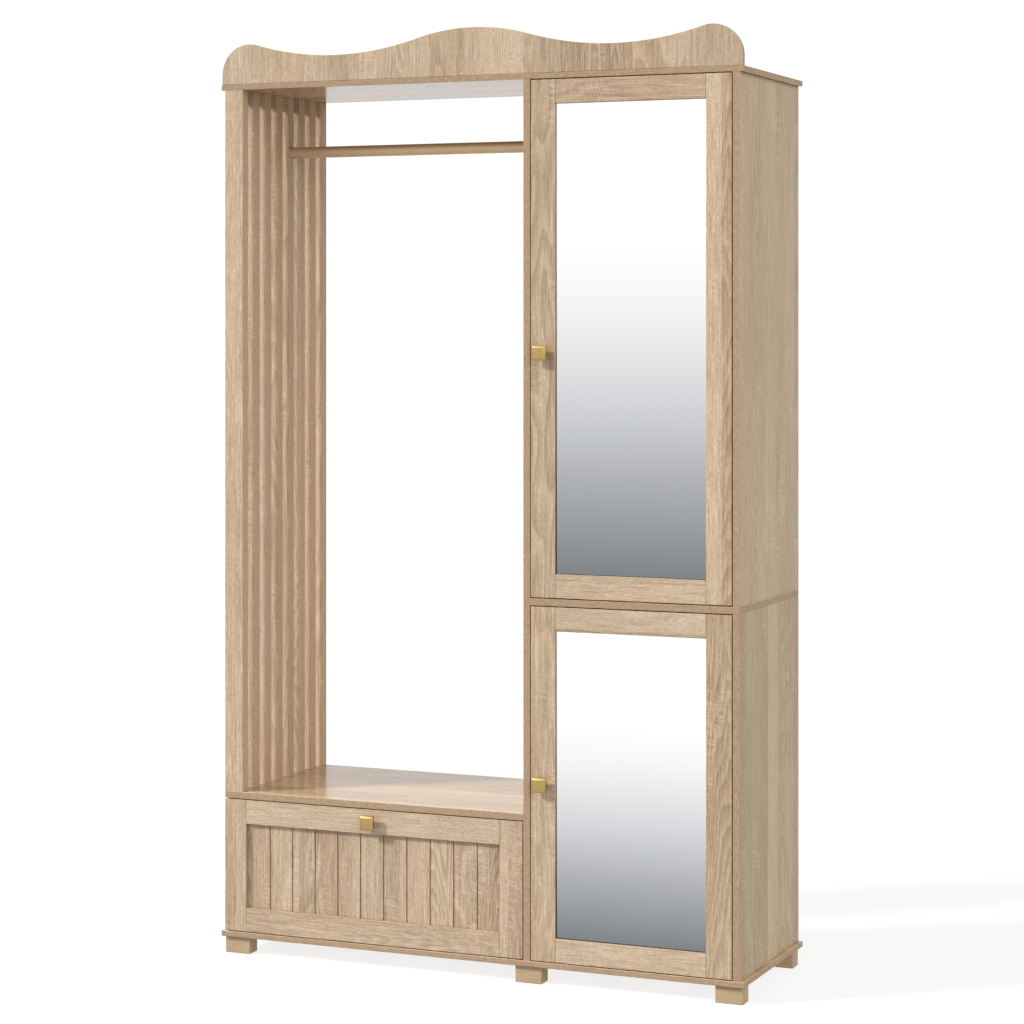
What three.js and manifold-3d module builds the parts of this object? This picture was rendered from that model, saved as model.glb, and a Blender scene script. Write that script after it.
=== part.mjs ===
// A hall-stand wardrobe: on the left an open hanging bay over a bench, with a wall of
// upright slats, a clothes rail and a drop-down flap under the seat; on the right a tall
// cabinet with an upper and a lower mirror door. A board with a wavy top edge stands on top.
// Millimetres, +Z up. The front faces -Y and +X is to the right of someone facing it. The
// origin is on the floor, at the centre of the box that holds everything, knobs included.

import * as THREE from "three";
import { mergeVertices } from "three/addons/utils/BufferGeometryUtils.js";
import Module from "manifold-3d";

const wasm = await Module();
wasm.setup();

// Overall size of the carcass; the knobs stand in front of its depth
const overallWidth = 1200;
const overallDepth = 400;
const overallHeight = 2000;

// Board thicknesses
const plateThickness = 12; // base board, top board and cornice board
const panelThickness = 15; // sides, bench top, middle board and shelves
const frontThickness = 16; // frames of the doors and the flap
const backThickness = 3; // hardboard backs

// Heights above the floor
const footHeight = 37;
const benchTopHeight = 355;
const midBoardTopHeight = 805;
const upperKnobHeight = 1316;

// Plan of the carcass
const endOverhang = 9; // base and top boards past the sides
const cabinetInnerWidth = 444;

// Clearances
const reveal = 2; // gap round a door or the flap
const seatGap = 0.3; // between pieces that sit in or on each other
const shelfSetback = 4; // shelf front behind a closed door
const arris = 0.8; // small bevel on every board edge
const cutPast = 5; // how far a cut runs past the face it opens through

// Grooves that hold the hardboard backs
const rebateWidth = 5;
const rebateDepth = backThickness + 2 * seatGap;

// Slat wall
const slatCount = 8;
const slatWidth = 44;
const slatThickness = 24;

// Clothes rail
const railRadius = 12.5;
const railWall = 1.2;
const railDrop = 125; // rail centre below the top board
const railCollarLip = 1.1;
const railCollarLength = 4;
const railSlat = 5; // the slat that carries the left end, counted from the front

// Wavy cornice board: heights are above the top board
const corniceEndInset = 2;
const corniceCrestHeight = 102;
const corniceCrestRadius = 462;
const corniceHumpHeight = 87;
const corniceHumpRadius = 66;
const corniceValleyHeight = 56;
const arcSteps = 20;

// Door and flap frames
const doorStileWidth = 55;
const doorRailWidth = 50;
const flapFrameWidth = 52;
const mirrorRecess = 4;
const mirrorThickness = 7.5; // the glass and the board behind it
const flapPanelRecess = 10;
const flapPanelThickness = 5.5;
const panelBite = 8; // how far a mirror or panel reaches under its frame
const plankCount = 11;
const beadWidth = 3.4;
const beadDepth = 2.2;

// Square knobs
const knobSize = 31;
const knobProjection = 22;
const knobHeadDepth = 9;
const knobChamfer = 4;
const knobChamferDepth = 3;
const knobNeckRadius = 6;
const knobBaseRadius = 8.5;
const knobEdgeDistance = 25;

// Concealed cup hinges
const cupRadius = 17.2;
const cupDepth = 11.5;
const cupWall = 1.2;
const cupFlangeLip = 2.3;
const cupFlangeThickness = 1;
const cupSlotLength = 27;
const hingeEndDistance = 100; // hinge centre from the end of its door
const hingePlateFront = 36;
const hingePlateLength = 46;
const hingePlateThickness = 4;
const hingePlateWidth = 40;
const hingeArmWidth = 14;
const hingeArmHeight = 8;
const hingeArmSlope = 12;
const tongueThickness = 6;
const tongueClearance = 3;
const tongueReach = 6;

// Feet
const footWidth = 60;
const footDepth = 35;
const footEndInset = 5;
const footFrontInset = 10;
const footBackInset = 17;
const footArris = 1.5;

// Round parts: sides of the rail, of a hinge cup and of a knob's neck
const railSides = 40;
const cupSides = 24;
const neckSides = 24;

// Planes that many pieces share
const frontY = -(overallDepth - knobProjection) / 2;
const backY = frontY + overallDepth;
const halfWidth = overallWidth / 2;
const carcassRight = halfWidth - endOverhang;
const carcassLeft = -carcassRight;
const sideInnerX = carcassRight - panelThickness;
const centreRightX = sideInnerX - cabinetInnerWidth;
const centreLeftX = centreRightX - panelThickness;
const benchSideInnerX = carcassLeft + panelThickness;
const slatInnerX = carcassLeft + slatWidth;
const slatPitch = (overallDepth - slatThickness) / (slatCount - 1);
const baseTop = footHeight + plateThickness;
const topBoardTop = overallHeight - corniceCrestHeight;
const topBoardBottom = topBoardTop - plateThickness;
const benchTopBottom = benchTopHeight - panelThickness;
const midBoardBottom = midBoardTopHeight - panelThickness;
const closedBackY = frontY + frontThickness;
const shelfFrontY = closedBackY + shelfSetback;
const backSheetY = [backY - seatGap - backThickness, backY - seatGap];
const shelfBackY = backY - rebateDepth;
const flangeSeat = frontThickness + seatGap; // underside of a hinge cup's flange

// Finishes
function finish(color, roughness, metalness = 0) {
  return new THREE.MeshStandardMaterial({ color, roughness, metalness });
}
const oakBoard = finish(0xc9ad8c, 0.5);
const oakFront = finish(0xd0b492, 0.5);
const hardboard = finish(0xd8c6a8, 0.8);
const footWood = finish(0xcbb187, 0.55);
const brass = finish(0xb99a58, 0.35, 1);
const mirrorGlass = finish(0xe6eaec, 0.04, 1);
const hingeSteel = finish(0xb4b6b8, 0.3, 1);

// Turns a geometry into a solid that can be cut and joined
function toSolid(geometry) {
  const shell = geometry.clone();
  shell.deleteAttribute("normal");
  shell.deleteAttribute("uv");
  const merged = mergeVertices(shell, 1e-4);
  return new wasm.Manifold(
    new wasm.Mesh({
      numProp: 3,
      vertProperties: new Float32Array(merged.attributes.position.array),
      triVerts: new Uint32Array(merged.index.array),
    })
  );
}

// Turns a solid back into a geometry
function toGeometry(solid) {
  const mesh = solid.getMesh();
  const geometry = new THREE.BufferGeometry();
  geometry.setAttribute("position", new THREE.BufferAttribute(mesh.vertProperties, 3));
  geometry.setIndex(new THREE.BufferAttribute(mesh.triVerts, 1));
  geometry.computeVertexNormals();
  return geometry;
}

// A named piece in its place
function piece(name, geometry, material, position = [0, 0, 0]) {
  const mesh = new THREE.Mesh(geometry, material);
  mesh.name = name;
  mesh.position.set(...position);
  return mesh;
}

// A block centred on its own middle, with a small bevel on all twelve edges
function bevelledBlock(sizeX, sizeY, sizeZ, bevel = arris) {
  const x = sizeX / 2;
  const y = sizeY / 2;
  const shape = new THREE.Shape();
  shape.moveTo(-x + bevel, -y);
  shape.lineTo(x - bevel, -y);
  shape.lineTo(x, -y + bevel);
  shape.lineTo(x, y - bevel);
  shape.lineTo(x - bevel, y);
  shape.lineTo(-x + bevel, y);
  shape.lineTo(-x, y - bevel);
  shape.lineTo(-x, -y + bevel);
  shape.closePath();
  return extrudeBevelled(shape, sizeZ, bevel).translate(0, 0, -sizeZ / 2);
}

// Extrudes an outline from z 0 to the given depth, with its end edges bevelled inwards
function extrudeBevelled(shape, depth, bevel, curveSegments = arcSteps) {
  const geometry = new THREE.ExtrudeGeometry(shape, {
    depth: depth - 2 * bevel,
    bevelEnabled: true,
    bevelThickness: bevel,
    bevelSize: bevel,
    bevelOffset: -bevel,
    bevelSegments: 1,
    curveSegments,
  });
  return geometry.translate(0, 0, bevel);
}

// A board that fills the box between two values on each axis, less the cutters given
// as geometries in the wardrobe's own frame
function board(name, material, xs, ys, zs, cutters = [], bevel = arris) {
  const size = [xs, ys, zs].map(([low, high]) => high - low);
  const centre = [xs, ys, zs].map(([low, high]) => (low + high) / 2);
  let geometry = bevelledBlock(...size, bevel);
  if (cutters.length > 0) {
    let solid = toSolid(geometry);
    for (const cutter of cutters) {
      const local = cutter.clone().translate(-centre[0], -centre[1], -centre[2]);
      solid = solid.subtract(toSolid(local));
    }
    geometry = toGeometry(solid);
  }
  return piece(name, geometry, material, centre);
}

// A plain box between two values on each axis, used as a cutter
function boxBetween(xs, ys, zs) {
  const size = [xs, ys, zs].map(([low, high]) => high - low);
  const centre = [xs, ys, zs].map(([low, high]) => (low + high) / 2);
  return new THREE.BoxGeometry(...size).translate(...centre);
}

// Base board, top board, and the board between the two cabinets
function horizontalBoards() {
  const fullX = [-halfWidth, halfWidth];
  const fullY = [frontY, backY];
  const backNotch = boxBetween(
    [centreRightX - rebateWidth, sideInnerX + rebateWidth],
    [backY - rebateDepth, backY + cutPast],
    [midBoardBottom - cutPast, midBoardTopHeight + cutPast]
  );
  return [
    board("base_board", oakBoard, fullX, fullY, [footHeight, baseTop]),
    board("top_board", oakBoard, fullX, fullY, [topBoardBottom, topBoardTop]),
    board("mid_board", oakBoard, [centreLeftX, carcassRight], fullY,
      [midBoardBottom, midBoardTopHeight], [backNotch]),
    board("bench_top", oakBoard, [carcassLeft, centreLeftX], fullY,
      [benchTopBottom, benchTopHeight]),
  ];
}

// The groove in a panel's rear corner for a hardboard sheet. It runs from the panel's inner
// face at faceX into the panel, which lies in the direction into, 1 or -1.
function backRebate(faceX, into, zs) {
  const deepX = faceX + into * rebateWidth;
  const openX = faceX - into * cutPast;
  return boxBetween([Math.min(deepX, openX), Math.max(deepX, openX)],
    [backY - rebateDepth, backY + cutPast], zs);
}

// Upright panels of the cabinet and the bench, with their rear grooves
function uprightPanels() {
  const fullY = [frontY, backY];
  const upperZ = [midBoardTopHeight, topBoardBottom];
  const lowerZ = [baseTop, midBoardBottom];
  const benchZ = [baseTop, benchTopBottom];
  const centreX = [centreLeftX, centreRightX];
  const sideX = [sideInnerX, carcassRight];
  const pastBoth = ([low, high]) => [low - cutPast, high + cutPast];
  const sideGroove = (zs) => backRebate(sideInnerX, 1, pastBoth(zs));
  const centreGroove = (zs) => backRebate(centreRightX, -1, pastBoth(zs));
  const benchGroove = backRebate(centreLeftX, 1, [baseTop - cutPast, benchTopBottom]);
  return [
    board("side_panel_upper", oakBoard, sideX, fullY, upperZ, [sideGroove(upperZ)]),
    board("side_panel_lower", oakBoard, sideX, fullY, lowerZ, [sideGroove(lowerZ)]),
    board("centre_panel_upper", oakBoard, centreX, fullY, upperZ, [centreGroove(upperZ)]),
    board("centre_panel_lower", oakBoard, centreX, fullY, lowerZ,
      [centreGroove(lowerZ), benchGroove]),
    board("bench_side_panel", oakBoard, [carcassLeft, benchSideInnerX],
      [closedBackY + reveal, backY], benchZ,
      [backRebate(benchSideInnerX, -1, pastBoth(benchZ))]),
  ];
}

// Hardboard backs, held in the rear grooves
function backSheets() {
  const bite = rebateWidth - seatGap;
  return [
    board("cabinet_back", hardboard, [centreRightX - bite, sideInnerX + bite], backSheetY,
      [baseTop + seatGap, topBoardBottom - seatGap]),
    board("bench_back", hardboard, [benchSideInnerX - bite, centreLeftX + bite], backSheetY,
      [baseTop + seatGap, benchTopBottom - seatGap]),
  ];
}

// Fixed shelves that split a compartment into equal heights
function shelves(names, bottom, top) {
  const clearHeight = (top - bottom - names.length * panelThickness) / (names.length + 1);
  return names.map((name, i) => {
    const z = bottom + (i + 1) * clearHeight + i * panelThickness;
    return board(name, oakBoard, [centreRightX, sideInnerX], [shelfFrontY, shelfBackY],
      [z, z + panelThickness]);
  });
}

// The row of upright slats that closes the left end of the hanging bay
function slatFrontY(number) {
  return frontY + (number - 1) * slatPitch;
}
function slats() {
  return Array.from({ length: slatCount }, (_, i) => {
    const y = slatFrontY(i + 1);
    return board(`slat_${i + 1}`, oakBoard, [carcassLeft, slatInnerX], [y, y + slatThickness],
      [benchTopHeight, topBoardBottom]);
  });
}

// A hollow tube with a thin collar at each end, between a slat and the centre panel
function clothesRail() {
  const length = centreLeftX - slatInnerX - 2 * seatGap;
  const inner = railRadius - railWall;
  const collar = railRadius + railCollarLip;
  const profile = [
    [inner, 0],
    [collar, 0],
    [collar, railCollarLength],
    [railRadius, railCollarLength],
    [railRadius, length - railCollarLength],
    [collar, length - railCollarLength],
    [collar, length],
    [inner, length],
    [inner, 0],
  ].map(([radius, along]) => new THREE.Vector2(radius, along));
  const geometry = new THREE.LatheGeometry(profile, railSides);
  const y = slatFrontY(railSlat) + slatThickness / 2;
  const rail = piece("clothes_rail", geometry, brass,
    [slatInnerX + seatGap, y, topBoardBottom - railDrop]);
  rail.rotation.z = -Math.PI / 2;
  return rail;
}

// The cornice outline is one chain of tangent arcs: an end hump, a long valley, the middle
// crest, and the same mirrored. The hump and the crest have a set height and radius. Where
// the valley's lowest point lies, and its radius, follow from its height and from touching
// both: one height above the lowest point, a circle's half chord squared is that height
// times the rest of its diameter, which gives one equation on each side of the valley.
function corniceOutline() {
  const half = halfWidth - corniceEndInset;
  const humpX = half - corniceHumpRadius;
  const humpZ = corniceHumpHeight - corniceHumpRadius;
  const crestZ = corniceCrestHeight - corniceCrestRadius;
  const humpRise = corniceHumpHeight - corniceValleyHeight;
  const crestRise = corniceCrestHeight - corniceValleyHeight;
  const unevenness = 1 - humpRise / crestRise;
  const diameterGap = 2 * (corniceCrestRadius - corniceHumpRadius) + humpRise - crestRise;
  const reach = humpX ** 2 + humpRise * diameterGap;
  const valleyX = reach / (humpX + Math.sqrt(humpX ** 2 - unevenness * reach));
  const valleyRadius = (valleyX ** 2 / crestRise + crestRise) / 2 - corniceCrestRadius;
  const valleyZ = corniceValleyHeight + valleyRadius;
  const humpTurn = Math.atan2(valleyZ - humpZ, humpX - valleyX);
  const crestTurn = Math.atan2(valleyZ - crestZ, valleyX);
  const shape = new THREE.Shape();
  shape.moveTo(-half, seatGap);
  shape.lineTo(half, seatGap);
  shape.absarc(humpX, humpZ, corniceHumpRadius, 0, Math.PI - humpTurn, false);
  shape.absarc(valleyX, valleyZ, valleyRadius, -humpTurn, crestTurn - Math.PI, true);
  shape.absarc(0, crestZ, corniceCrestRadius, crestTurn, Math.PI - crestTurn, false);
  shape.absarc(-valleyX, valleyZ, valleyRadius, -crestTurn, humpTurn - Math.PI, true);
  shape.absarc(-humpX, humpZ, corniceHumpRadius, humpTurn, Math.PI, false);
  shape.closePath();
  return shape;
}

function corniceBoard() {
  const geometry = extrudeBevelled(corniceOutline(), plateThickness, arris);
  const cornice = piece("cornice_board", geometry, oakFront,
    [0, frontY + plateThickness, topBoardTop]);
  cornice.rotation.x = Math.PI / 2;
  return cornice;
}

// Six plain blocks: under both ends and under the centre panel, front and back
function feet() {
  const endX = halfWidth - footEndInset - footWidth / 2;
  const columns = { left: -endX, centre: (centreLeftX + centreRightX) / 2, right: endX };
  const rows = {
    front: frontY + footFrontInset + footDepth / 2,
    back: backY - footBackInset - footDepth / 2,
  };
  return Object.entries(rows).flatMap(([row, y]) =>
    Object.entries(columns).map(([column, x]) =>
      board(`foot_${row}_${column}`, footWood, [x - footWidth / 2, x + footWidth / 2],
        [y - footDepth / 2, y + footDepth / 2], [0, footHeight], [], footArris)));
}

// A square knob with a chamfered head on a flared round neck, standing out along -Y
function knob(name, x, z) {
  const corner = Math.SQRT2 / 2;
  const rim = knobProjection - knobChamferDepth;
  const headBack = knobProjection - knobHeadDepth;
  const headProfile = [
    [0, headBack],
    [knobSize * corner, headBack],
    [knobSize * corner, rim],
    [(knobSize - 2 * knobChamfer) * corner, knobProjection],
    [0, knobProjection],
  ].map(([radius, out]) => new THREE.Vector2(radius, out));
  const head = new THREE.LatheGeometry(headProfile, 4).rotateY(Math.PI / 4);
  const flareLength = knobBaseRadius - knobNeckRadius;
  const neckProfile = [
    [0, seatGap],
    [knobBaseRadius, seatGap],
    [knobBaseRadius, flareLength / 2],
    [knobNeckRadius, flareLength * 2],
    [knobNeckRadius, headBack + knobHeadDepth / 2],
    [0, headBack + knobHeadDepth / 2],
  ].map(([radius, out]) => new THREE.Vector2(radius, out));
  const neck = new THREE.LatheGeometry(neckProfile, neckSides);
  const joined = toGeometry(toSolid(head).add(toSolid(neck)));
  const mesh = piece(name, joined, brass, [x, frontY, z]);
  mesh.rotation.x = Math.PI;
  return mesh;
}

// A hinge has its own frame: x runs from the hinged edge, where x is 0, with the door or
// flap on the negative side; y runs from the closed front face to the inside; z is the axis

// A cup sits midway between the hinged edge of its frame and the groove for the panel
function cupSetback(frameWidth) {
  return (frameWidth - panelBite - seatGap) / 2;
}

// The fixed half: a plate on the carcass and a cranked arm whose tongue dips into the cup
function hingeArm(name, setback) {
  const plateEnd = hingePlateFront + hingePlateLength;
  const armLow = reveal - hingePlateThickness;
  const armHigh = armLow - hingeArmHeight;
  const tongueX = -setback;
  const shoulder = flangeSeat + cupFlangeThickness + tongueClearance;
  const shape = new THREE.Shape();
  shape.moveTo(armLow, plateEnd);
  shape.lineTo(armHigh + tongueThickness / 3, plateEnd);
  shape.lineTo(armHigh, plateEnd - tongueThickness / 3);
  shape.lineTo(armHigh, hingePlateFront + hingeArmSlope / 2);
  shape.lineTo(tongueX - tongueThickness / 2, shoulder + hingeArmSlope / 2);
  shape.lineTo(tongueX - tongueThickness / 2, frontThickness - tongueReach);
  shape.lineTo(tongueX + tongueThickness / 2, frontThickness - tongueReach);
  shape.lineTo(tongueX + tongueThickness / 2, shoulder);
  shape.lineTo(armLow, hingePlateFront - hingeArmSlope / 2);
  shape.closePath();
  const arm = new THREE.ExtrudeGeometry(shape, { depth: hingeArmWidth, bevelEnabled: false });
  arm.translate(0, 0, -hingeArmWidth / 2);
  const plate = bevelledBlock(hingePlateThickness, hingePlateLength, hingePlateWidth, 0.5);
  plate.translate(reveal - seatGap - hingePlateThickness / 2,
    hingePlateFront + hingePlateLength / 2, 0);
  const joined = toGeometry(toSolid(arm).add(toSolid(plate)));
  return piece(name, joined, hingeSteel);
}

// The moving half: a round cup with a flange, pressed into the back of the frame. Its slot
// leaves a cheek on each side of the tongue, which stays between them as the door swings.
function hingeCup(name, setback) {
  const floor = frontThickness - cupDepth;
  const mouth = flangeSeat + cupFlangeThickness;
  const flange = cupRadius + cupFlangeLip;
  const profile = [
    [0, floor],
    [cupRadius, floor],
    [cupRadius, flangeSeat],
    [flange, flangeSeat],
    [flange, mouth],
    [0, mouth],
  ].map(([radius, deep]) => new THREE.Vector2(radius, deep));
  const slotWidth = hingeArmWidth + 2 * seatGap;
  const slot = boxBetween([-cupSlotLength / 2, cupSlotLength / 2],
    [floor + cupWall, mouth + cutPast], [-slotWidth / 2, slotWidth / 2]);
  const body = toSolid(new THREE.LatheGeometry(profile, cupSides));
  const cup = toGeometry(body.subtract(toSolid(slot)));
  return piece(name, cup, hingeSteel, [-setback, 0, 0]);
}

// Both halves of one hinge, placed on the closed front plane; a flat hinge lies along X
function hinge(baseName, number, x, z, setback, flat) {
  const group = new THREE.Group();
  group.add(hingeArm(`${baseName}_hinge_arm_${number}`, setback));
  group.add(hingeCup(`${baseName}_hinge_cup_${number}`, setback));
  group.position.set(x, frontY, z);
  group.rotation.y = flat ? Math.PI / 2 : 0;
  return group;
}

// The round pocket that a hinge cup sits in, drilled from the back of a frame
function cupPocket(x, z) {
  const depth = cupDepth + seatGap;
  const radius = cupRadius + seatGap;
  const cutter = new THREE.CylinderGeometry(radius, radius, depth + cutPast, cupSides);
  return cutter.translate(x, closedBackY - depth / 2 + cutPast / 2, z);
}

// A framed front: two full-height stiles, two rails between them and a panel held in a
// groove behind the opening. The hinge pockets are drilled into the member on hingedSide.
function frame(baseName, xs, zs, widths, panel, pockets, hingedSide) {
  const ys = [frontY, closedBackY];
  const openX = [xs[0] + widths.stile, xs[1] - widths.stile];
  const openZ = [zs[0] + widths.rail, zs[1] - widths.rail];
  const groove = boxBetween(
    [openX[0] - panelBite - seatGap, openX[1] + panelBite + seatGap],
    [frontY + panel.recess - seatGap, closedBackY + cutPast],
    [openZ[0] - panelBite - seatGap, openZ[1] + panelBite + seatGap]
  );
  const cutsFor = (side) => (side === hingedSide ? [groove, ...pockets] : [groove]);
  const railX = [openX[0] + seatGap, openX[1] - seatGap];
  return {
    members: [
      board(`${baseName}_stile_left`, oakFront, [xs[0], openX[0]], ys, zs, cutsFor("left")),
      board(`${baseName}_stile_right`, oakFront, [openX[1], xs[1]], ys, zs, cutsFor("right")),
      board(`${baseName}_rail_top`, oakFront, railX, ys, [openZ[1], zs[1]], cutsFor("top")),
      board(`${baseName}_rail_bottom`, oakFront, railX, ys, [zs[0], openZ[0]],
        cutsFor("bottom")),
    ],
    panelX: [openX[0] - panelBite, openX[1] + panelBite],
    panelY: [frontY + panel.recess, frontY + panel.recess + panel.thickness],
    panelZ: [openZ[0] - panelBite, openZ[1] + panelBite],
  };
}

// A mirror door, hinged on its right edge
function mirrorDoor(baseName, zs, knobZ) {
  const xs = [centreRightX + reveal, sideInnerX - reveal];
  const hingeZ = [zs[0] + hingeEndDistance, zs[1] - hingeEndDistance];
  const setback = cupSetback(doorStileWidth);
  const pockets = hingeZ.map((z) => cupPocket(xs[1] - setback, z));
  const widths = { stile: doorStileWidth, rail: doorRailWidth };
  const panel = { recess: mirrorRecess, thickness: mirrorThickness };
  const { members, panelX, panelY, panelZ } =
    frame(`${baseName}_door`, xs, zs, widths, panel, pockets, "right");
  return [
    ...members,
    board(`${baseName}_door_mirror`, mirrorGlass, panelX, panelY, panelZ),
    knob(`${baseName}_door_knob`, xs[0] + knobEdgeDistance, knobZ),
    ...hingeZ.map((z, i) => hinge(baseName, i + 1, xs[1], z, setback, false)),
  ];
}

// The grooved panel of the flap: equal planks with a narrow bead groove between each two
function plankPanel(panelX, panelY, panelZ) {
  const width = panelX[1] - panelX[0];
  const thickness = panelY[1] - panelY[0];
  const openWidth = width - 2 * panelBite;
  const plankPitch = openWidth / plankCount;
  const shape = new THREE.Shape();
  shape.moveTo(-width / 2, 0);
  for (let i = 1; i < plankCount; i += 1) {
    const x = -openWidth / 2 + i * plankPitch;
    shape.lineTo(x - beadWidth / 2, 0);
    shape.lineTo(x - beadWidth / 4, beadDepth);
    shape.lineTo(x + beadWidth / 4, beadDepth);
    shape.lineTo(x + beadWidth / 2, 0);
  }
  shape.lineTo(width / 2, 0);
  shape.lineTo(width / 2, thickness);
  shape.lineTo(-width / 2, thickness);
  shape.closePath();
  const geometry = new THREE.ExtrudeGeometry(shape, {
    depth: panelZ[1] - panelZ[0],
    bevelEnabled: false,
  });
  return piece("flap_panel", geometry, oakFront,
    [(panelX[0] + panelX[1]) / 2, panelY[0], panelZ[0]]);
}

// The drop-down flap under the bench, hinged on its bottom edge
function benchFlap() {
  const xs = [carcassLeft, centreLeftX - reveal];
  const zs = [baseTop + reveal, benchTopBottom - reveal];
  const hingeX = [xs[0] + hingeEndDistance, xs[1] - hingeEndDistance];
  const setback = cupSetback(flapFrameWidth);
  const pockets = hingeX.map((x) => cupPocket(x, zs[0] + setback));
  const widths = { stile: flapFrameWidth, rail: flapFrameWidth };
  const panel = { recess: flapPanelRecess, thickness: flapPanelThickness };
  const { members, panelX, panelY, panelZ } =
    frame("flap", xs, zs, widths, panel, pockets, "bottom");
  return [
    ...members,
    plankPanel(panelX, panelY, panelZ),
    knob("flap_knob", (xs[0] + xs[1]) / 2, zs[1] - flapFrameWidth / 2),
    ...hingeX.map((x, i) => hinge("flap", i + 1, x, zs[0], setback, true)),
  ];
}

// The whole wardrobe
const upperDoorZ = [midBoardTopHeight + reveal, topBoardBottom - reveal];
const lowerDoorZ = [baseTop + reveal, midBoardBottom - reveal];
const wardrobe = new THREE.Group();
wardrobe.add(
  ...horizontalBoards(),
  corniceBoard(),
  ...uprightPanels(),
  ...backSheets(),
  ...shelves(["upper_shelf_1", "upper_shelf_2"], midBoardTopHeight, topBoardBottom),
  ...shelves(["lower_shelf"], baseTop, midBoardBottom),
  ...slats(),
  clothesRail(),
  ...feet(),
  ...mirrorDoor("upper", upperDoorZ, upperKnobHeight),
  ...mirrorDoor("lower", lowerDoorZ, (lowerDoorZ[0] + lowerDoorZ[1]) / 2),
  ...benchFlap()
);

export default wardrobe;
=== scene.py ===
# A hall-stand wardrobe in light sawn oak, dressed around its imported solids.
# Metres, +Z up, the front faces -Y and +X is to the viewer's right.

import math

import bmesh
import bpy
from mathutils import Matrix, Vector


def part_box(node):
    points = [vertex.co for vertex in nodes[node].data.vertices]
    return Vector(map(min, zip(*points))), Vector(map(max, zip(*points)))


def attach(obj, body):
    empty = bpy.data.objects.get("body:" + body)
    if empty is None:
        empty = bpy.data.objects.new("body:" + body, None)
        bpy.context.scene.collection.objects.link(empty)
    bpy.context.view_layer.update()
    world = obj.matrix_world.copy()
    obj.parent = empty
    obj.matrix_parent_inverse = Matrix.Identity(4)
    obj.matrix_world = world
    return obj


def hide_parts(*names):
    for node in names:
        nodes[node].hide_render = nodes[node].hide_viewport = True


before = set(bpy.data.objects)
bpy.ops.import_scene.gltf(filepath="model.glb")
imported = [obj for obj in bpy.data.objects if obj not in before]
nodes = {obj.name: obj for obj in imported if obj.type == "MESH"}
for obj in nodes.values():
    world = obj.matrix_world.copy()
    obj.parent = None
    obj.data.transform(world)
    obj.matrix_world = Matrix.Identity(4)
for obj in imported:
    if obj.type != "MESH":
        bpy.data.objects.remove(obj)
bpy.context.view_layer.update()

X, Y, Z = 0, 1, 2
MM = 0.001
WHITE = (1, 1, 1, 1)
FRONTS = ("upper_door", "lower_door", "flap")
DOORS = ("upper_door", "lower_door")
SHELVES = ("upper_shelf_1", "upper_shelf_2", "lower_shelf")
BACKS = ("cabinet_back", "bench_back")
SLAT_COUNT = 8
HINGE_COUNT = 2

# Camera, level and shifted, solved from the photograph's edges
CAMERA_PLACE = (2.3286, -5.4154, 1.3842)
CAMERA_PITCH = 90.0
CAMERA_YAW = 23.172
CAMERA_LENS = 95.71
CAMERA_SENSOR = 36.0
CAMERA_SHIFT = -0.1875

# Suns: azimuth from the front towards +X, elevation, strength and softness
SUNS = {
    "key": (-52, 33, 3.03, 7),
    "fill": (42, 24, 0.68, 40),
    "side": (88, 26, 1.08, 50),
    "top": (-20, 72, 0.3, 60),
}
SUN_DISTANCE = 3.0

# Sky: how strong it is for the eye, as light from above and below, and mirrored behind on the right
SKY_SEEN = 1.06
SKY_LIGHT = 0.41
FLOOR_LIGHT = 0.50
BACK_CORNER = 0.36

# Sky: the directions between which one strength turns into another
HORIZON_TURN = (-0.2, 0.2)
CORNER_TURN_X = (0.0, 0.25)
CORNER_TURN_Y = (-0.2, 0.4)

# Floor: a pale disc with a faint mottle
FLOOR_TONE = 0.20
FLOOR_MOTTLE = 0.02
FLOOR_CELLS = 1.5
FLOOR_ROUGHNESS = 0.8
FLOOR_REACH = 8.0
FLOOR_SIDES = 96

# Oak tones, linear, and the shade at which each one stands
OAK_DEEP = (0.190, 0.110, 0.056, 1)
OAK_DARK = (0.300, 0.190, 0.105, 1)
OAK_MID = (0.500, 0.358, 0.236, 1)
OAK_LIGHT = (0.630, 0.470, 0.325, 1)
OAK_CREAM = (0.780, 0.615, 0.450, 1)
OAK_TONES = ((0.0, OAK_DEEP), (0.3, OAK_DARK), (0.62, OAK_MID), (0.82, OAK_LIGHT), (0.96, OAK_CREAM))

# Oak: the tone of its saw marks, and the tints of its greener strips and of its ends
OAK_CUT = (0.730, 0.600, 0.440, 1)
OAK_OLIVE = (0.945, 1.0, 1.0, 1)
END_TINT = (1.0, 1.03, 0.87, 1)

# Bands on the narrow faces: the two tones of each, their cover and the range of their mottle
EDGE_BAND = ((0.330, 0.218, 0.134, 1), (0.430, 0.300, 0.200, 1))
SLAT_BAND = ((0.500, 0.355, 0.240, 1), (0.580, 0.415, 0.280, 1))
# The door band is painted shade: a darker band on the door frames' narrow faces for the shade in the
# reveal round each mirror
DOOR_BAND_PAINTED_SHADE = ((0.185, 0.117, 0.069, 1), (0.245, 0.160, 0.100, 1))
# The groove band is painted shade: a dark band on the flap panel's groove walls for the shade inside
# the grooves
GROOVE_BAND_PAINTED_SHADE = ((0.240, 0.140, 0.072, 1), (0.330, 0.205, 0.115, 1))
BAND_COVER = 0.9
BAND_MOTTLE = (0.35, 0.7)

# Facing, as a cosine, over which the look of one side turns into that of another
FACE_TURN = (0.3, 0.7)

# Oak layers: noise cells per metre across and along the grain
DRIFT_CELLS = (6.0, 1.6)
WIDE_CELLS = (120.0, 2.2)
FINE_CELLS = (580.0, 13.0)
MOTTLE_CELLS = (440.0, 95.0)
PORE_CELLS = (900.0, 70.0)
HILL_CELLS = (16.0, 2.6)
MARK_CELLS = (45.0, 430.0)
PATCH_CELLS = (20.0, 6.0)

# Oak: how far the drift bends the grain, and the range of noise in which pores show
GRAIN_BEND = 0.03
PORE_RANGE = (0.58, 0.75)

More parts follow.
